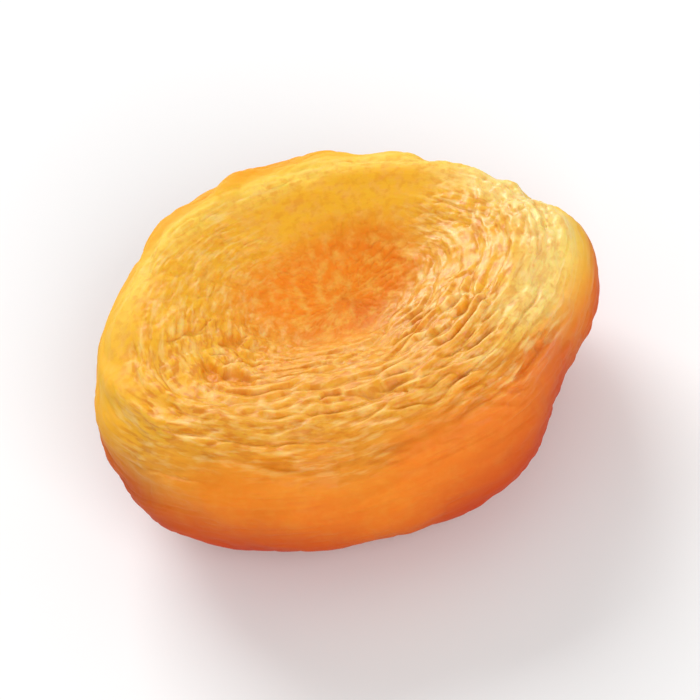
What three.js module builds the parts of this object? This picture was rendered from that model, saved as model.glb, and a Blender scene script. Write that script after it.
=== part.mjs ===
// One dried apricot, whole with its stone pressed out, lying on its back.
// It is a single piece of fruit: a plump wrinkled ring round a scooped hollow, closed underneath.
// Millimetres, +Z up. The origin is on the surface it lies on, under the middle of the fruit.
// X runs along the fruit, towards the puckered end that the stone left by. Y runs across it.

import * as THREE from "three";
import { mergeVertices } from "three/addons/utils/BufferGeometryUtils.js";
import { ImprovedNoise } from "three/addons/math/ImprovedNoise.js";

// Driving dimensions
const length = 38.5; // of the oval that the lobes below depart from
const width = 33.5;
const girthHeight = 8.5; // of the widest line above the surface it lies on
const shoulderRise = 9.2; // of the unscooped top above the widest line
const seatSink = 0.25; // how far the weight has flattened the underside

// The outline seen from above departs from an oval by these slow swellings
const lobes = [
  { count: 3, swell: 0.015, turn: -8 },
  { count: 4, swell: 0.031, turn: 16 },
  { count: 5, swell: 0.021, turn: 9 },
  { count: 6, swell: 0.015, turn: -3 },
];

// How square the ring's section is: rounder at the front (-Y), firmer at the back, softest underneath
const section = {
  over: 4.4,
  change: 1.3,
  under: 2.2,
  blend: 40, // degrees below the widest line before it is all soft
  rim: 6, // how near to the widest line the hollow's slope is felt
};

// The scooped hollow: steep at the far wall, easy at the near one
const hollow = {
  x: 0.8,
  y: 3.2,
  depth: 7.2,
  reachAlong: 12.6, // to where the wall is steepest, along the fruit and across it
  reachAcross: 10.4,
  easier: 0.16, // share by which the near wall reaches further
  easySide: -100, // degrees round from +X
  wallShape: 2.2,
};

// The pucker that the stone left by, at the pointed end: a short slit in a ring of fine creases
const pucker = {
  bearing: 17,
  height: 12.4,
  inset: 2, // of its middle from the widest line
  slitLength: 4.6,
  slitWidth: 1.3,
  depth: 0.9,
  rays: 9,
  rayDepth: 0.25,
  rayFrom: 1, // the rays are deepest at rayPeak from the middle, and gone at rayFrom and rayReach
  rayPeak: 3,
  rayReach: 7.5,
};

// Skin that shrank less than the flesh: broad folds, and wrinkles that run round the hollow
const folds = { size: 8, height: 0.7, pattern: 24.4 };
const wrinkles = {
  across: 2.1, // size over a wrinkle and along one
  along: 7,
  height: 1.35,
  pattern: 5, // a pattern number picks one stretch of the noise
  waver: 3, // how far they stray from running straight round
  waverSize: 8,
  waverPattern: 3,
  softness: 0.06, // rounds the bottoms of the valleys
  mean: 0.24, // of the ridges, so that they neither thicken nor thin the fruit
  outside: 0.4, // share left on the outer side, where the skin is tighter
  farWall: 0.3, // share left on the hollow's steep wall
};

// Where the skin's parts meet, as latitudes in degrees: 0 is the widest line, 90 the hollow's floor
const latitudes = { outside: [5, 25], wall: [36, 50], floor: [64, 80] };
const farSide = 0.3; // how far a direction turns to the back before it counts as the far side

const meshDetail = 23; // 20 * (meshDetail + 1)^2 triangles
const meshSpread = 0.8; // below 1 it draws the mesh's points out towards the rim

const degrees = THREE.MathUtils.degToRad;
const { smoothstep, lerp, clamp } = THREE.MathUtils;
const grain = new ImprovedNoise();

// Even noise from -1 to 1 at a point in millimetres, for features of the given size
function noiseAt(p, size, shift = 0) {
  return grain.noise(p.x / size + shift, p.y / size + shift * 1.7, p.z / size - shift);
}

// How far the outline stands out from its oval, on a bearing round the fruit
function outline(bearing) {
  let reach = 1;
  for (const { count, swell, turn } of lobes) reach += swell * Math.cos(count * (bearing - degrees(turn)));
  return reach;
}

// Depth of the hollow below the unscooped top
function hollowDepth(x, y) {
  const dx = x - hollow.x;
  const dy = y - hollow.y;
  const ease = 1 + hollow.easier * Math.cos(Math.atan2(dy, dx) - degrees(hollow.easySide));
  const out = Math.hypot(dx / hollow.reachAlong, dy / hollow.reachAcross) / ease;
  return hollow.depth * Math.exp(-Math.pow(out, hollow.wallShape));
}

// The smooth fruit: every direction from its middle gives one point on its skin
function smoothSkin(direction) {
  const bearing = Math.atan2(direction.y, direction.x);
  const latitude = Math.asin(clamp(direction.z, -1, 1));
  const out = Math.pow(Math.max(0, Math.cos(latitude)), meshSpread); // 0 in the middle, 1 at the girth
  const x = (length / 2) * out * outline(bearing) * Math.cos(bearing);
  const y = (width / 2) * out * outline(bearing) * Math.sin(bearing);
  const over = section.over + section.change * Math.sin(bearing);
  if (latitude > 0) {
    const scooped = hollowDepth(x, y) * (1 - Math.pow(out, section.rim));
    return new THREE.Vector3(x, y, girthHeight + shoulderRise * rounding(out, over) - scooped);
  }
  const drop = girthHeight + seatSink;
  const flank = over * Math.pow(shoulderRise / drop, 2); // carries on smoothly from above
  const under = lerp(flank, section.under, smoothstep(-latitude, 0, degrees(section.blend)));
  return new THREE.Vector3(x, y, girthHeight - drop * rounding(out, under));
}

// Falls from 1 in the middle to 0 at the widest line; the higher the power, the squarer
function rounding(out, power) {
  return Math.sqrt(1 - Math.pow(out, power));
}

// The way out of the smooth fruit, square to its skin
function outward(direction) {
  const nudge = 0.01;
  const tooShort = 0.1;
  const aside = new THREE.Vector3(-direction.z, 0, direction.x);
  if (aside.length() < tooShort) aside.set(1, 0, 0);
  aside.normalize();
  const other = new THREE.Vector3().crossVectors(direction, aside);
  const step = (way) => smoothSkin(direction.clone().addScaledVector(way, nudge).normalize());
  const back = (way) => smoothSkin(direction.clone().addScaledVector(way, -nudge).normalize());
  const first = step(aside).sub(back(aside));
  return first.cross(step(other).sub(back(other))).normalize();
}

// Distance over the skin from the hollow's floor, down one bearing
function skinDistance(direction) {
  const steps = 24;
  const bearing = Math.atan2(direction.y, direction.x);
  const turned = Math.acos(clamp(direction.z, -1, 1));
  let walked = 0;
  let last = smoothSkin(new THREE.Vector3(0, 0, 1));
  for (let i = 1; i <= steps; i++) {
    const tilt = (turned * i) / steps;
    const level = Math.sin(tilt);
    const way = new THREE.Vector3(level * Math.cos(bearing), level * Math.sin(bearing), Math.cos(tilt));
    const next = smoothSkin(way);
    walked += next.distanceTo(last);
    last = next;
  }
  return walked;
}

// The pucker's slit and the creases that ray out of it
function puckerDepth(p) {
  const bearing = degrees(pucker.bearing);
  const edge = smoothSkin(new THREE.Vector3(Math.cos(bearing), Math.sin(bearing), 0));
  const across = -p.x * Math.sin(bearing) + p.y * Math.cos(bearing);
  const middle = Math.hypot(edge.x, edge.y) - pucker.inset;
  const along = p.x * Math.cos(bearing) + p.y * Math.sin(bearing) - middle;
  const up = p.z - pucker.height;
  const away = Math.hypot(across, along, up);
  const slitSide = Math.pow(across / pucker.slitWidth, 2);
  const slitEnd = Math.pow(Math.hypot(along, up) / pucker.slitLength, 4);
  const slit = Math.exp(-slitSide - slitEnd);
  const ray = Math.atan2(up, across);
  const creases = Math.pow(Math.abs(Math.cos((pucker.rays * ray) / 2)), 3);
  const inner = smoothstep(away, pucker.rayFrom, pucker.rayPeak);
  const ring = inner * (1 - smoothstep(away, pucker.rayPeak, pucker.rayReach));
  return pucker.depth * slit + pucker.rayDepth * creases * ring;
}

// Height of the wrinkles: long rounded ridges between sharper valleys, which come and go
function wrinkleHeight(p, direction) {
  const waver = wrinkles.waver * noiseAt(p, wrinkles.waverSize, wrinkles.waverPattern);
  const down = (skinDistance(direction) + waver) / wrinkles.across;
  const swell = grain.noise(down, p.x / wrinkles.along + wrinkles.pattern, p.y / wrinkles.along);
  const ridge = Math.hypot(swell, wrinkles.softness) - wrinkles.mean;
  const latitude = THREE.MathUtils.radToDeg(Math.asin(clamp(direction.z, -1, 1)));
  const tightness = 1 - smoothstep(latitude, ...latitudes.outside);
  const floor = smoothstep(latitude, ...latitudes.floor);
  const farWall = smoothstep(latitude, ...latitudes.wall) * smoothstep(direction.y, 0, farSide);
  const share = lerp(1, wrinkles.outside, tightness) * lerp(1, wrinkles.farWall, farWall) * (1 - floor);
  return wrinkles.height * ridge * share;
}

// One point of the finished skin, in the given direction from the middle
function skinPoint(direction) {
  const p = smoothSkin(direction);
  const fold = folds.height * noiseAt(p, folds.size, folds.pattern);
  p.addScaledVector(outward(direction), fold + wrinkleHeight(p, direction) - puckerDepth(p));
  p.z = Math.max(p.z, 0);
  return p;
}

function fruitGeometry() {
  const ball = new THREE.IcosahedronGeometry(1, meshDetail);
  ball.deleteAttribute("normal");
  ball.deleteAttribute("uv");
  const mergeGap = 1e-5;
  const skin = mergeVertices(ball, mergeGap);
  const places = skin.getAttribute("position");
  const direction = new THREE.Vector3();
  for (let i = 0; i < places.count; i++) {
    direction.fromBufferAttribute(places, i).normalize();
    places.setXYZ(i, ...skinPoint(direction));
  }
  skin.computeBoundingBox();
  const middle = skin.boundingBox.getCenter(new THREE.Vector3());
  skin.translate(-middle.x, -middle.y, 0);
  skin.computeVertexNormals();
  return skin;
}

function fruitMaterial() {
  return new THREE.MeshStandardMaterial({ color: 0xee9a32, roughness: 0.5, metalness: 0 });
}

const apricot = new THREE.Mesh(fruitGeometry(), fruitMaterial());
apricot.name = "apricot";

const part = new THREE.Group();
part.add(apricot);

export default part;
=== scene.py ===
import math

import bpy
import numpy as np
from mathutils import Matrix, Vector


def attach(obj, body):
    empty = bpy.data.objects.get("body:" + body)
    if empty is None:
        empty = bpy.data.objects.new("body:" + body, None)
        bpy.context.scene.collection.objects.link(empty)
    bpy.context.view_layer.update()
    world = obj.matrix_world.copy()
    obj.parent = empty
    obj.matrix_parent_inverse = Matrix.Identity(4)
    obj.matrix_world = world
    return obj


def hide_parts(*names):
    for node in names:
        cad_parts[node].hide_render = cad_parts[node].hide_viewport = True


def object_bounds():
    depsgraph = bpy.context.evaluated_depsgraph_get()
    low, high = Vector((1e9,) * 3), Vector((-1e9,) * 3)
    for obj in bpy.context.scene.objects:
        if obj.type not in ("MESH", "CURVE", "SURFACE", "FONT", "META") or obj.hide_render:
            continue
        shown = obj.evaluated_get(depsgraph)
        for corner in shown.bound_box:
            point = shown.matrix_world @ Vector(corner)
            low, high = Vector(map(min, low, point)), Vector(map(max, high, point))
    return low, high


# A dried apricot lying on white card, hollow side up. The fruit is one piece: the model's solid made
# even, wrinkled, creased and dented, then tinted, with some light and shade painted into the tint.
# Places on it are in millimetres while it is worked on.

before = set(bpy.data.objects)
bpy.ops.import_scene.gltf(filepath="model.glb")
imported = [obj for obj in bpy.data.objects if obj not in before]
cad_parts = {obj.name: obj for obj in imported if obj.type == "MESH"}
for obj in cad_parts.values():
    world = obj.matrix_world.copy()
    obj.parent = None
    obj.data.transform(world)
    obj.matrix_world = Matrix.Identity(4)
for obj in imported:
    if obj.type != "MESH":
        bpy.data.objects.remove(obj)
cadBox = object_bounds()
scene = bpy.context.scene
mm = 0.001
boxLow, boxHigh = (np.array(corner) / mm for corner in cadBox)
print("model loaded, mm:", np.round(boxHigh - boxLow, 1))


# Runs softly from 0 to 1 as a value goes from low to high
def smoothStep(value, low, high):
    share = np.clip((value - low) / (high - low), 0, 1)
    return share * share * (3 - 2 * share)


def unitVectors(vectors):
    tiny = 1e-9
    return vectors / np.maximum(np.linalg.norm(vectors, axis=1, keepdims=True), tiny)


def dots(first, second):
    return np.einsum("ij,ij->i", first, second)


# Smooth random fields: how large their features are (mm), and a number that picks one
fields = {
    "start": (0.6, 1),
    "patches": (3.2, 3),
    "smallPatches": (1.4, 4),
    "spacing": (3.0, 5),
    "strength": (2.4, 7),
    "uneven": (0.75, 9),
    "stray": (3.5, 11),
    "bendAlong": (1.4, 21),
    "bendAcross": (1.4, 22),
    "ragged": (3.0, 40),
}


# A field's value at each point, from -1 to 1. It depends only on the place, so it never changes.
def noiseField(points, size, number):
    apart = 17.3  # cells between one field and the next
    cell = points / size + apart * number
    corner = np.floor(cell).astype(np.int64)
    inside = cell - corner
    fade = inside**3 * (inside * (inside * 6 - 15) + 10)
    total = np.zeros(len(points))
    for step in np.ndindex(2, 2, 2):
        at = corner + step
        mixed = (at[:, 0] * 73856093) ^ (at[:, 1] * 19349663) ^ (at[:, 2] * 83492791)  # large primes
        mixed = (mixed ^ (mixed >> 13)) * 1274126177
        value = ((mixed ^ (mixed >> 16)) & 0xFFFF) / 0x7FFF - 1
        total += value * np.prod(np.where(np.array(step) == 1, fade, 1 - fade), axis=1)
    return total


def readVectors(mesh, kind, name):
    vectors = np.empty(len(getattr(mesh, kind)) * 3)
    getattr(mesh, kind).foreach_get(name, vectors)
    return vectors.reshape(-1, 3)


def readPoints(mesh):
    return readVectors(mesh, "vertices", "co") / mm


def readNormals(mesh):
    return readVectors(mesh, "vertices", "normal")


def readTriangles(mesh):
    mesh.calc_loop_triangles()
    return readVectors(mesh, "loop_triangles", "vertices").astype(np.int64)


def writePoints(mesh, points):
    mesh.vertices.foreach_set("co", (points * mm).ravel())
    mesh.update()


def storeValues(mesh, name, values):
    stored = mesh.attributes.get(name) or mesh.attributes.new(name, "FLOAT", "POINT")
    stored.data.foreach_set("value", values.astype(np.float32))


def readValues(mesh, name):
    values = np.empty(len(mesh.vertices), dtype=np.float32)
    mesh.attributes[name].data.foreach_get("value", values)
    return values.astype(float)


def applyModifier(piece, kind, **settings):
    modifier = piece.modifiers.new(kind.lower(), kind)
    for name, value in settings.items():
        setattr(modifier, name, value)
    bpy.context.view_layer.objects.active = piece
    bpy.ops.object.modifier_apply(modifier=modifier.name)


fruit = {
    "weld": 0.002,  # mm
    "voxel": 0.24,  # mm, of the even mesh that the wrinkles grow on
    "softening": 0.5,  # of each pass that takes the model's facets away
    "passes": 4,
    "triangles": 196000,  # of the finished fruit
    "inside": 0.02,  # mm that the skin stays inside the model's box
}


# An even, smooth copy of the model's solid
def evenFruit():
    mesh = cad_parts["apricot"].data.copy()
    mesh.materials.clear()
    piece = bpy.data.objects.new("driedApricot", mesh)
    scene.collection.objects.link(piece)
    applyModifier(piece, "WELD", merge_threshold=fruit["weld"] * mm)
    applyModifier(piece, "SUBSURF", levels=1, use_limit_surface=False)
    applyModifier(piece, "REMESH", mode="VOXEL", voxel_size=fruit["voxel"] * mm)
    applyModifier(piece, "SMOOTH", factor=fruit["softening"], iterations=fruit["passes"])
    return piece


# The rim and the hollow of the model, in mm but for the rim's reach
rim = {
    "centre": (0.5, -0.2),
    "reach": (0.425, 0.36),  # of the fruit's length and width, from the centre to the top of the rim
    "rounds": 6,  # that settle which of the nested ovals a point is on
}
hollow = {
    "centre": (0.8, 3.2),
    "reach": (12.6, 10.4),  # to where its wall is steepest
    "deepest": (-0.8, 4.0),
    "deepReach": (9.0, 4.8),
}

# Stretches of the rim, as bearings seen from above: 0 is to the right (+X) and 90 to the far side (+Y).
# Each is its middle, half its width, and how far it fades beyond that, in degrees.
stretches = {
    "near": (-100, 65, 40),
    "right": (-12, 30, 30),
    "left": (165, 35, 30),
    "far": (60, 85, 35),
    "back": (85, 100, 40),
    "spillFront": (-105, 45, 30),
    "spillRight": (-15, 30, 30),
    "paleLeft": (-170, 50, 50),
    "calmLeft": (-160, 18, 15),
    "calmRight": (-42, 16, 18),
    # where the painted highlight inside the right rim lies
    "paleRight": (0, 24, 26),
    # the next three: where the outside gets painted shade
    "flankShadeRight": (-52, 30, 24),
    "flankShadeFront": (-105, 25, 25),
    "flankShadeEnd": (2, 26, 26),
    # the next two: where the painted shade at the bottom reaches higher
    "redRight": (-55, 20, 22),
    "redLeft": (-140, 15, 25),
}

# Where each zone of the skin begins and where it is whole
spans = {
    # out from the middle of the hollow, 1 where its wall is steepest
    "wall": (0.35, 0.7),
    "nearWall": (0.18, 0.6),
    "calmWall": (0.6, 0.95),
    # out from the bottom of the hollow, 1 at the top of the rim
    "crest": (0.9, 1.02),
    "spiltCrest": (1.08, 1.36),
    "outside": (0.98, 1.12),
    "flankShadeOutside": (0.93, 1.05),
    "rimInside": (0.86, 1.0),
    "rimOutside": (1.03, 1.16),
    "paleInside": (0.74, 0.92),
    "goldInside": (0.3, 0.68),
    "goldOutside": (1.05, 1.35),
    "deep": (0.35, 1.0),
    # mm above the card
    "crestHeight": (9.5, 12.5),
    "goldHeight": (7, 12),
    "upperHeight": (7.5, 14),
    "flankShadeHeight": (12.4, 15.2),
    "flankShadeEndHeight": (6.5, 12.5),
    "lowShadeHeight": (1.5, 10.5),
    "seatHeight": (0.1, 1.5),
}

# How the zones run into each other
zoneEdges = {
    "spillRight": 0.5,  # share of the front's spill over the rim that the right side has
    "ragged": 0.1,  # of the rim's reach, that the spill's edge strays
    "leftWrinkled": 0.85,  # how far the left side counts as wrinkled
    "flankShadeFront": 0.5,  # how strong the painted shade is at the front, against the right
}
# How far up the painted shade at the bottom reaches, in mm: for each mm off the fruit's middle, and on the
# two red stretches
lowShadeRise = {"middleOut": 0.14, "redRight": 2.2, "redLeft": 1.3}


# Ovals nested from the bottom of the hollow, 0, to the rim, 1, and on: which of them a point is on, the
# way out of it, and the bearing
def ringPlace(points):
    reach = rim["reach"] * (boxHigh - boxLow)[:2]
    ring = np.zeros(len(points))
    for _ in range(rim["rounds"]):
        share = np.minimum(ring, 1)[:, None]
        offset = points[:, :2] - share * rim["centre"] - (1 - share) * hollow["centre"]
        ring = np.linalg.norm(offset / reach, axis=1)
    slope = offset / np.square(reach)
    outward = unitVectors(np.column_stack([slope, np.zeros(len(slope))]))
    bearing = np.degrees(np.arctan2(offset[:, 1], offset[:, 0]))
    return ring, outward, bearing


def onStretch(bearing, middle, half, fade):
    gap = np.abs((bearing - middle + 180) % 360 - 180)
    return 1 - smoothStep(gap, half, half + fade)


def span(value, name):
    return smoothStep(value, *spans[name])


# How far each part of the skin belongs to each zone, from 0 to 1
def skinZones(points):
    ring, _, bearing = ringPlace(points)
    height = points[:, 2]
    on = {name: onStretch(bearing, *stretch) for name, stretch in stretches.items()}
    scooped = np.linalg.norm((points[:, :2] - hollow["centre"]) / hollow["reach"], axis=1)
    sunk = np.linalg.norm((points[:, :2] - hollow["deepest"]) / hollow["deepReach"], axis=1)

    # The near wall's wrinkles reach further down, and spill over the rim in a ragged edge
    nearShare = on["near"][:, None]
    edges = (1 - nearShare) * spans["wall"] + nearShare * spans["nearWall"]
    wall = smoothStep(scooped, edges[:, 0], edges[:, 1])
    spill = np.maximum(on["spillFront"], zoneEdges["spillRight"] * on["spillRight"])[:, None]
    edges = (1 - spill) * spans["crest"] + spill * spans["spiltCrest"]
    ragged = ring + zoneEdges["ragged"] * noiseField(points, *fields["ragged"])
    wrinkled = wall * (1 - smoothStep(ragged, edges[:, 0], edges[:, 1])) * span(height, "crestHeight")

    outside = span(ring, "outside")
    # Painted shade: the lower outside at the right and at the front keeps a deeper orange
    flankShade = np.maximum(on["flankShadeRight"], zoneEdges["flankShadeFront"] * on["flankShadeFront"])
    flankShade = flankShade * (1 - span(height, "flankShadeHeight"))
    flankShadeEnd = on["flankShadeEnd"] * (1 - span(height, "flankShadeEndHeight"))
    # The painted shade at the bottom reaches higher away from the middle and on two stretches
    redness = lowShadeRise["middleOut"] * np.abs(points[:, 0])
    for name in ("redRight", "redLeft"):
        redness += lowShadeRise[name] * on[name]
    zone = {
        "all": np.ones(len(points)),
        "near": wrinkled * on["near"],
        "right": wrinkled * on["right"],
        "left": wrinkled * on["left"],
        "far": span(ring, "rimInside") * (1 - span(ring, "rimOutside")) * on["far"],
        "floor": (1 - wall) * (1 - outside),
        "inside": 1 - outside,
        "outside": outside,
        "calm": np.maximum(on["calmLeft"], on["calmRight"] * (1 - span(scooped, "calmWall"))),
        # painted highlight: the upper inside of the right rim made pale
        "rightRimHighlight": span(ring, "paleInside") * (1 - outside) * on["paleRight"],
        # painted glow: the far wall of the hollow made lighter, for light shining through the thin far side
        "backGlow": span(ring, "goldInside") * on["back"] * span(height, "goldHeight"),
        "backSkin": span(ring, "goldOutside") * on["back"],
        # the upper left, made lighter partly by painted light
        "upper": span(height, "upperHeight") * on["paleLeft"],
        "flankShade": span(ring, "flankShadeOutside") * np.maximum(flankShade, flankShadeEnd),
        "deep": 1 - span(sunk, "deep"),
        # painted shade, darker and redder towards the bottom
        "low": 1 - span(height - redness, "lowShadeHeight"),
        "seat": 1 - span(height, "seatHeight"),
    }
    zone["wall"] = 1 - (1 - zone["near"]) * (1 - zone["right"])
    leftShare = zoneEdges["leftWrinkled"] * zone["left"]
    zone["wrinkled"] = np.minimum(1, zone["near"] + zone["right"] + leftShare)
    return zone


# Adds up a share of each named zone
def byZone(zone, shares):
    return sum(share * zone[name] for name, share in shares.items())


wrinkles = {
    "depth": 0.30,  # mm
    "steps": 190,  # of their growth
    "stepSize": 0.05,
    "stray": 40,  # degrees that they wander off the ring
    # mm from ridge to ridge
    "spacing": {"all": 0.82, "outside": 0.2, "near": 0.26},
    "spacingChange": 0.25,
    # how readily they form, and how far that changes in patches
    "drive": {"all": 0.30, "near": 0.35, "right": 0.3, "left": 0.1},
    "patchiness": 0.5,
    "smallPatches": 0.7,  # how strong the smaller patches are against the larger
    "start": 0.6,  # height of the random start
    # how firmly they keep to the ring
    "straight": {"all": 0.7, "near": 0.9, "right": -0.45},
    # below 0 the valleys join up into a net
    "lean": {"all": -0.25, "right": -0.5},
    # breaks them up
    "uneven": {"all": 0.34, "near": -0.12},
    # share of the depth that is everywhere, that the zones add, and that the calm stretches lose
    "everywhere": 0.1,
    "added": {"near": 0.9, "right": 0.6, "left": 0.4, "far": 0.27},
    "calming": {"all": 1, "calm": -0.45},
    # how it comes and goes in patches: its mean, its change, its least and its most
    "strength": (0.75, 0.9, 0.2, 1.1),
}


# How a value spreads over the skin: evenly, and only along one direction. The matrices of both are given
# row by row: the column of each entry, where each row starts, the entries, and each row's total.
def skinSpread(points, triangles, along):
    corners = [points[triangles[:, k]] for k in range(3)]
    across = np.cross(corners[1] - corners[0], corners[2] - corners[0])
    twiceArea = np.linalg.norm(across, axis=1)
    facing = across / twiceArea[:, None]
    edges = (corners[2] - corners[1], corners[0] - corners[2], corners[1] - corners[0])
    slopes = [np.cross(facing, edge) / twiceArea[:, None] for edge in edges]
    way = unitVectors(sum(along[triangles[:, k]] for k in range(3)))
    waySlopes = [dots(way, slope) for slope in slopes]
    rows, columns, even, oneWay = [], [], [], []
    for i, j in np.ndindex(3, 3):
        rows.append(triangles[:, i])
        columns.append(triangles[:, j])
        even.append(-0.5 * twiceArea * dots(slopes[i], slopes[j]))
        oneWay.append(-0.5 * twiceArea * waySlopes[i] * waySlopes[j])
    count = len(points)
    area = np.bincount(triangles.ravel(), np.repeat(twiceArea / 6, 3), count)
    pairs = np.concatenate(rows) * count + np.concatenate(columns)
    pairs, place = np.unique(pairs, return_inverse=True)
    row, column = pairs // count, pairs % count
    first = np.searchsorted(row, np.arange(count))
    even = np.bincount(place, np.concatenate(even)) / area[row]
    oneWay = np.bincount(place, np.concatenate(oneWay)) / area[row]
    return column, first, even, oneWay, np.add.reduceat(np.abs(even), first)


# Ridges of one spacing grow out of a random start, as in Swift and Hohenberg's equation for folded sheets
def growRidges(spread, start, spacing, drive, straight, lean, uneven):
    column, first, even, oneWay, rowTotal = spread
    stepSize = wrinkles["stepSize"]
    safe = 1.6  # at 2 the steps would overshoot
    steadiest = (1 + math.sqrt(safe / stepSize)) / rowTotal
    scale = np.minimum((spacing / (2 * math.pi)) ** 2, steadiest)
    limit = 2
    value = start
    for _ in range(wrinkles["steps"]):
        around = value[column]
        shaped = value + scale * np.add.reduceat(even * around, first)
        bent = shaped + scale * np.add.reduceat(even * shaped[column], first)
        lined = scale * np.add.reduceat(oneWay * around, first)
        change = drive * value - bent + straight * lined + lean * value**2 - value**3 + uneven
        value = np.clip(value + stepSize * change, -limit, limit)
    return value


# The direction round the rim at each point, with a slow wander
def roundTheRim(points, normals):
    outward = ringPlace(points)[1]
    way = np.column_stack([-outward[:, 1], outward[:, 0], np.zeros(len(outward))])
    way = unitVectors(way - normals * dots(way, normals)[:, None])
    stray = np.radians(wrinkles["stray"]) * noiseField(points, *fields["stray"])[:, None]
    return way * np.cos(stray) + np.cross(normals, way) * np.sin(stray)


# Leaves the ridges' heights on the mesh as an attribute, from 0 in the valleys to 1 on the tops
def growWrinkles(piece):
    mesh = piece.data
    points = readPoints(mesh)
    zone = skinZones(points)
    spread = skinSpread(points, readTriangles(mesh), roundTheRim(points, readNormals(mesh)))
    patches = noiseField(points, *fields["patches"])
    patches += wrinkles["smallPatches"] * noiseField(points, *fields["smallPatches"])
    spacing = byZone(zone, wrinkles["spacing"])
    spacing += wrinkles["spacingChange"] * noiseField(points, *fields["spacing"])
    drive = byZone(zone, wrinkles["drive"]) + wrinkles["patchiness"] * patches
    uneven = byZone(zone, wrinkles["uneven"]) * noiseField(points, *fields["uneven"])
    straight = byZone(zone, wrinkles["straight"])
    lean = byZone(zone, wrinkles["lean"])
    start = wrinkles["start"] * noiseField(points, *fields["start"])
    value = growRidges(spread, start, spacing, drive, straight, lean, uneven)
    tallest = 0.9
    storeValues(mesh, "ridge", value / (2 * tallest) + 0.5)
    applyModifier(piece, "SUBSURF", levels=1, use_limit_surface=False)


streakRing = {
    "reach": 14.5,  # mm, the ring's mean radius
    "sectors": 36,  # in which the rim's highest point is looked for
    "from": 0.75,  # and between which ovals
    "to": 1.2,
    "turn": 0.06,  # how softly the way across turns from uphill to downhill
}


# A place along and across the ring of the rim, in mm, for marks that are drawn out along it: across it
# they go up the wall of the hollow, over the rim and down the outside
def streakPlaces(points, stretch):
    ring, _, bearing = ringPlace(points)
    height = points[:, 2]
    sectors = streakRing["sectors"]
    rising = np.argsort(height)
    rising = rising[(ring[rising] > streakRing["from"]) & (ring[rising] < streakRing["to"])]
    sector = np.round(bearing[rising] * sectors / 360).astype(int) % sectors
    tops, crests = np.zeros(sectors), np.zeros(sectors)
    tops[sector] = height[rising]  # the highest point of each sector is written last
    crests[sector] = ring[rising]
    middles = np.arange(sectors) * 360 / sectors
    top = np.interp(bearing, middles, tops, period=360)
    crest = np.interp(bearing, middles, crests, period=360)
    beyond = smoothStep(ring - crest, -streakRing["turn"], streakRing["turn"])
    across = ring * streakRing["reach"] + (height - top) * (1 - 2 * beyond)
    turned = np.radians(bearing)
    along = np.column_stack([np.cos(turned), np.sin(turned)]) * streakRing["reach"] / stretch
    return np.column_stack([along, across])


# Dents and small folds: how much of them each zone has, their size across (mm), how many times longer
# they are than wide, and their depth (mm)
dents = {
    "foldsNear": ({"near": 1, "right": 0.8}, 1.3, 7.0, 0.30),
    "foldsLeft": ({"left": 1, "far": 1}, 1.0, 1.6, 0.16),
    "dentsFloor": ({"floor": 1}, 1.1, 1.3, 0.12),
    "dentsFine": ({"floor": 1, "left": 1, "far": 0.6}, 0.5, 1.2, 0.06),
    "hairFolds": ({"wall": 1, "left": 0.5, "far": 0.5}, 0.45, 4.0, 0.06),
    "streaksOutside": ({"outside": 1}, 1.3, 4.0, 0.09),
    "grainOutside": ({"outside": 1, "far": 0.6}, 0.6, 2.0, 0.06),
    "foldsBack": ({"backSkin": 1}, 1.0, 2.2, 0.12),
}

# Single creases: where each starts and ends, its width and depth, all in mm, and how strongly painted shade
# darkens it
creases = {
    "leftFold": ((-10.8, -2.0), (-8.0, -5.2), 0.75, 0.48, 0.9),
    "leftPit": ((-9.2, 0.7), (-7.9, -0.3), 0.45, 0.22, 0.8),
    "goldenCrease": ((-3.4, -8.8), (3.2, -11.5), 0.3, 0.26, 0.3),
    "shortCrease": ((4.4, -11.2), (7.2, -11.5), 0.2, 0.25, 0.5),
    "upperCrease": ((-12.6, 1.0), (-9.0, 2.1), 0.16, 0.18, 0.4),
    "insideCrease": ((-9.5, -1.2), (-4.2, -3.6), 0.2, 0.2, 0.3),
}
creaseShape = {
    "bend": 0.6,  # mm that it strays from a straight line
    "endWidth": 0.35,  # share of its width left at its ends
    "above": 9,  # mm, so that it marks only the upper side
}


# How far each point is in a crease, from 0 to 1
def creaseShare(points, start, end, width):
    start, end = np.array(start), np.array(end)
    along = end - start
    bend = [noiseField(points, *fields[name]) for name in ("bendAlong", "bendAcross")]
    place = points[:, :2] + creaseShape["bend"] * np.column_stack(bend)
    progress = np.clip(((place - start) @ along) / (along @ along), 0, 1)
    gap = np.linalg.norm(place - start - progress[:, None] * along, axis=1)
    fullness = np.sqrt(4 * progress * (1 - progress))
    thin = width * (creaseShape["endWidth"] + (1 - creaseShape["endWidth"]) * fullness)
    return np.exp(-((gap / thin) ** 2)) * (points[:, 2] > creaseShape["above"])


# Height of the grown wrinkles above the even skin, and how much of the wrinkling each point has
def wrinkleHeight(points, zone, ridge):
    added = [share * zone[name] for name, share in wrinkles["added"].items()]
    share = wrinkles["everywhere"] + np.max(added, axis=0)
    mean, change, least, most = wrinkles["strength"]
    strength = np.clip(mean + change * noiseField(points, *fields["strength"]), least, most)
    share = share * strength * byZone(zone, wrinkles["calming"]) * (1 - zone["seat"])
    middle, sharpness = 0.35, 1.6  # the ridges' middle stays on the skin; sharper valleys than tops
    return wrinkles["depth"] * share * (middle - (1 - ridge) ** sharpness), share


def dentHeight(points, zone):
    firstNumber = 30  # of the fields for dents
    middle, sharpness = 0.4, 2.2
    height = np.zeros(len(points))
    for number, (shares, size, stretch, depth) in enumerate(dents.values(), firstNumber):
        swell = np.abs(noiseField(streakPlaces(points, stretch), size, number))
        dent = 1 - np.clip(sharpness * swell, 0, 1)
        height += depth * np.clip(byZone(zone, shares), 0, 1) * (middle - dent)
    return height * (1 - zone["seat"])


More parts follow.
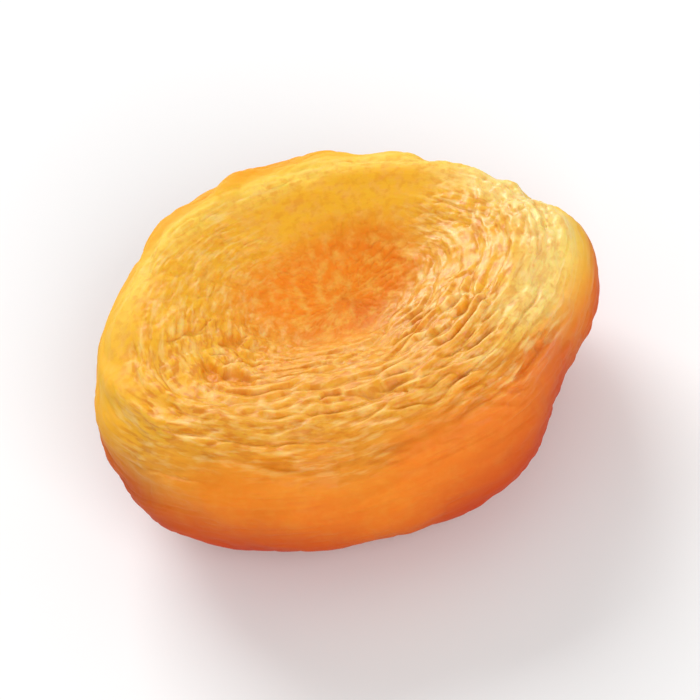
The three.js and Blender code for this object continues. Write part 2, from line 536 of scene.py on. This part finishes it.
# Moves the skin in and out, and thins the mesh to its number of triangles
def shapeSkin(piece):
    mesh = piece.data
    points = readPoints(mesh)
    zone = skinZones(points)
    ridge = np.clip(readValues(mesh, "ridge"), 0, 1)
    height, share = wrinkleHeight(points, zone, ridge)
    height += dentHeight(points, zone)
    # How far painted shade darkens each point in a crease
    fold = np.zeros(len(points))
    for start, end, width, depth, creaseShading in creases.values():
        crease = creaseShare(points, start, end, width)
        height -= depth * crease
        fold = np.maximum(fold, creaseShading * crease)
    points = points + readNormals(mesh) * height[:, None]
    lowest = boxLow + [fruit["inside"], fruit["inside"], 0]
    writePoints(mesh, np.clip(points, lowest, boxHigh - fruit["inside"]))
    plain = 0.6  # ridge height where there is no wrinkling
    storeValues(mesh, "ridge", plain + (ridge - plain) * np.clip(share, 0, 1))
    storeValues(mesh, "fold", fold)
    ratio = fruit["triangles"] / (2 * len(mesh.polygons))
    applyModifier(piece, "DECIMATE", use_collapse_triangulate=True, ratio=ratio)


def linear(code):
    parts = [int(code[i : i + 2], 16) / 255 for i in (1, 3, 5)]
    return [p / 12.92 if p <= 0.04045 else ((p + 0.055) / 1.055) ** 2.4 for p in parts] + [1]


# Adds a node and gives back one of its outputs; a socket is given a plain value or another node's output
def addNode(tree, kind, sockets=None, output=0, **settings):
    node = tree.nodes.new("ShaderNode" + kind)
    for name, value in settings.items():
        setattr(node, name, value)
    for name, value in (sockets or {}).items():
        if isinstance(value, bpy.types.NodeSocket):
            tree.links.new(value, node.inputs[name])
        else:
            node.inputs[name].default_value = value
    return node.outputs[output] if node.outputs else None


def newMaterial(name):
    material = bpy.data.materials.new(name)
    material.use_nodes = True
    material.node_tree.nodes.clear()
    return material, material.node_tree


# The skin's colours, each laid over those before it: how much of it each zone has, and its pattern.
# Some of them are painted light and shade, as marked at each.
tints = {
    "skin": ("#E8811C", {}, None),
    "deepSkin": ("#E27519", {"all": 1, "outside": -0.3}, "blotches"),
    # the upper left lighter: partly the drier rim's paler colour, partly painted light where the lamp behind
    # catches it
    "crest": ("#EE9C24", {"upper": 0.55}, None),
    "wall": ("#E6A12C", {"wall": 1}, None),
    # painted glow: the far wall of the hollow made lighter
    "backGlow": ("#F2B52C", {"backGlow": 1, "backSkin": -0.6}, None),
    # painted shade: a deeper orange low on the outside at the right and front
    "flankShade": ("#E97F20", {"flankShade": 1}, None),
    "hollow": ("#F18C1E", {"deep": 1}, None),
    # far rim: partly the thin rim's paler colour, partly painted glow of light shining through it
    "rim": ("#FACF56", {"far": 1, "flankShade": -0.6, "left": -0.3}, None),
    # painted highlight along the upper inside of the right rim
    "rightRimHighlight": ("#F8DC84", {"rightRimHighlight": 0.85, "flankShade": -0.5}, None),
    "mottle": ("#F0B048", {"inside": 0.85, "outside": 0.14, "far": -0.3, "rightRimHighlight": -0.4}, "mottles"),
    "speck": ("#DF8518", {"inside": 0.4, "outside": 0.1, "backGlow": -0.1, "deep": -0.2}, "specks"),
    # darker lines along the wrinkled walls: partly the thicker flesh's deeper orange, partly painted shade
    # of the wrinkle valleys
    "valleyToneAndShade": ("#D57C1A", {"wall": 0.6, "left": 0.15, "rightRimHighlight": -0.3, "flankShade": -0.4}, "lines"),
    # ridge tops paler: partly the drier ridges' own paler colour, partly painted highlight
    "paleRidgeAndHighlight": ("#F4C461", {"raised": 0.65, "rightRimHighlight": -0.3, "flankShade": -0.4}, "streaks"),
    # painted glints: small pale flecks, most on the wrinkled walls and at the right
    "glint": ("#F9DA8C", {"wrinkled": 0.4, "right": 0.4, "far": 0.3, "upper": 0.1, "flankShade": -0.3}, "glints"),
    # painted shade: darker and redder towards the bottom
    "low": ("#B4280F", {"low": 0.9}, None),
    # painted shade in the creases
    "fold": ("#E08316", {"fold": 0.8}, None),
}

# Patterns in the skin: their size (mm), detail, whether they are drawn out along the rim, the noise
# values where they start to show and where they are whole, and the least that they show
patterns = {
    "blotches": (3.5, 2, False, 0.38, 0.62, 0),
    "mottles": (0.9, 3, False, 0.45, 0.68, 0),
    "specks": (0.55, 2, False, 0.5, 0.36, 0),
    "lines": (0.42, 2, True, 0.52, 0.4, 0),
    "streaks": (0.55, 3, True, 0.35, 0.65, 0.25),
    # spots for the painted glints
    "glints": (0.55, 3, True, 0.5, 0.72, 0),
}

# Relief too fine for the mesh: its size (mm), detail, whether it is drawn out, and its height (mm)
fineRelief = {
    "hairlines": (0.55, 3, True, 0.042),
    "pores": (0.35, 2, False, 0.018),
}
drawnOut = 3  # times longer than wide, along the rim

# Where the skin is moist with its own syrup it is smoother, under a thin film
sheen = {
    "Roughness": {"all": 0.62, "wrinkled": -0.17},
    "Coat Weight": {"wrinkled": 0.1, "right": 0.3},
}


# Leaves on the mesh what the material reads
def tintSkin(piece):
    mesh = piece.data
    points = readPoints(mesh)
    zone = skinZones(points)
    # The painted shade in the creases
    zone["fold"] = readValues(mesh, "fold")
    # Ridge tops, which get a paler colour and a painted highlight
    ridgeFrom, ridgeTo = 0.45, 0.95
    raised = np.clip((readValues(mesh, "ridge") - ridgeFrom) / (ridgeTo - ridgeFrom), 0, 1)
    zone["raised"] = raised * zone["wrinkled"]
    layers = {name: shares for name, (_, shares, _) in tints.items() if shares}
    for name, shares in {**layers, **sheen}.items():
        storeValues(mesh, name, np.clip(byZone(zone, shares), 0, 1))
    places = mesh.attributes.new("drawnOut", "FLOAT_VECTOR", "POINT")
    places.data.foreach_set("vector", (streakPlaces(points, drawnOut) * mm).astype(np.float32).ravel())


# Apricot skin and flesh dried to a tender leather. Light goes a little way in and comes out as a warm
# glow; the syrup in the folds gives soft broken lights, and the tight outer skin is nearly matt.
# Some glow, glints and shade are also painted into its colour.
def driedApricotSkin():
    material, tree = newMaterial("driedApricotSkin")
    places = {
        False: addNode(tree, "TexCoord", output="Object"),
        True: addNode(tree, "Attribute", output="Vector", attribute_name="drawnOut"),
    }
    shown = {}
    for name, (size, detail, along, start, whole, least) in patterns.items():
        sockets = {"Vector": places[along], "Scale": 1 / (size * mm), "Detail": detail}
        noise = addNode(tree, "TexNoise", sockets, "Fac")
        sockets = {"Value": noise, "From Min": start, "From Max": whole, "To Min": least}
        shown[name] = addNode(tree, "MapRange", sockets, "Result")

    under, over, mixed = 6, 7, 2  # a Mix node's sockets for colours share their names with others
    colour = linear(tints["skin"][0])
    for name, (code, shares, pattern) in tints.items():
        if not shares:
            continue
        where = addNode(tree, "Attribute", output="Fac", attribute_name=name)
        if pattern:
            where = addNode(tree, "Math", {0: where, 1: shown[pattern]}, operation="MULTIPLY")
        sockets = {"Factor": where, under: colour, over: linear(code)}
        colour = addNode(tree, "Mix", sockets, mixed, data_type="RGBA")

    normal = None
    for size, detail, along, height in fineRelief.values():
        sockets = {"Vector": places[along], "Scale": 1 / (size * mm), "Detail": detail}
        noise = addNode(tree, "TexNoise", sockets, "Fac")
        sockets = {"Height": noise, "Distance": height * mm}
        if normal:
            sockets["Normal"] = normal
        normal = addNode(tree, "Bump", sockets, "Normal")

    sockets = {
        "Base Color": colour,
        "IOR": 1.38,  # between water and sugar syrup
        "Specular IOR Level": 0.22,
        "Coat Roughness": 0.28,
        "Subsurface Weight": 0.45,
        "Subsurface Radius": (1, 0.35, 0.1),  # red goes furthest
        "Subsurface Scale": 1.2 * mm,
        "Normal": normal,
    }
    for name in sheen:
        sockets[name] = addNode(tree, "Attribute", output="Fac", attribute_name=name)
    addNode(tree, "OutputMaterial", {"Surface": addNode(tree, "BsdfPrincipled", sockets)})
    return material


apricot = evenFruit()
print("even fruit:", len(apricot.data.vertices), "points")
growWrinkles(apricot)
print("wrinkles grown:", len(apricot.data.vertices), "points")
shapeSkin(apricot)
tintSkin(apricot)
apricot.data.shade_smooth()
apricot.data.materials.append(driedApricotSkin())
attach(apricot, "root")
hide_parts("apricot")
print("dried apricot:", len(apricot.data.polygons), "triangles")

table = {
    "half": 1.5,  # m
    "colour": "#F4F4F4",
    "roughness": 0.8,
}


# Uncoated white card, rolled flat: dead matt, so the shadow lies softly and nothing is mirrored
def mattWhiteCard():
    material, tree = newMaterial("mattWhiteCard")
    sockets = {"Base Color": linear(table["colour"]), "Roughness": table["roughness"]}
    addNode(tree, "OutputMaterial", {"Surface": addNode(tree, "BsdfPrincipled", sockets)})
    return material


def layTable():
    half = table["half"]
    corners = [(-half, -half, 0), (half, -half, 0), (half, half, 0), (-half, half, 0)]
    card = bpy.data.objects.new("card", bpy.data.meshes.new("card"))
    card.data.from_pydata(corners, [], [(0, 1, 2, 3)])
    card.data.materials.append(mattWhiteCard())
    scene.collection.objects.link(card)


studio = {
    "target": (0, 0, 0.008),  # m, that the lamps face
    "world": 0.45,
    "colour": "#FFFFFF",
    # where from (m), size (m) and watts
    "lamps": {
        "backLamp": ((-0.12, 0.76, 0.48), 0.55, 6.5),
        "frontLamp": ((0.15, -0.6, 0.45), 0.5, 3.4),
    },
}


# A bright room, one broad lamp behind that skims the folds, and a weaker one in front
def lightStudio():
    world = bpy.data.worlds.new("softRoom")
    world.use_nodes = True
    background = world.node_tree.nodes["Background"]
    background.inputs["Color"].default_value = linear(studio["colour"])
    background.inputs["Strength"].default_value = studio["world"]
    scene.world = world
    for name, (place, size, watts) in studio["lamps"].items():
        light = bpy.data.lights.new(name, "AREA")
        light.size = size
        light.energy = watts
        lamp = bpy.data.objects.new(name, light)
        scene.collection.objects.link(lamp)
        lamp.location = place
        lamp.rotation_mode = "QUATERNION"
        lamp.rotation_quaternion = (Vector(studio["target"]) - lamp.location).to_track_quat("-Z", "Y")


view = {
    "elevation": 48.5,  # degrees
    "roll": 18.9,
    "target": (0, 0, 0.0079),  # m, at the middle of the view
    "distance": 0.35,  # m
    "across": 0.053,  # m, the width of the view at the fruit
    "nearest": 0.01,
}


def placeCamera():
    camera = bpy.data.objects.new("camera", bpy.data.cameras.new("camera"))
    scene.collection.objects.link(camera)
    scene.camera = camera
    height = math.radians(view["elevation"])
    back = Vector((0, -math.cos(height), math.sin(height)))
    roll = Matrix.Rotation(-math.radians(view["roll"]), 3, "Z")
    turn = (-back).to_track_quat("-Z", "Y").to_matrix() @ roll
    camera.location = Vector(view["target"]) + back * view["distance"]
    camera.rotation_mode = "QUATERNION"
    camera.rotation_quaternion = turn.to_quaternion()
    camera.data.lens = camera.data.sensor_width * view["distance"] / view["across"]
    camera.data.clip_start = view["nearest"]


layTable()
lightStudio()
placeCamera()
scene.view_settings.view_transform = "Standard"
print("card, lamps and camera placed")
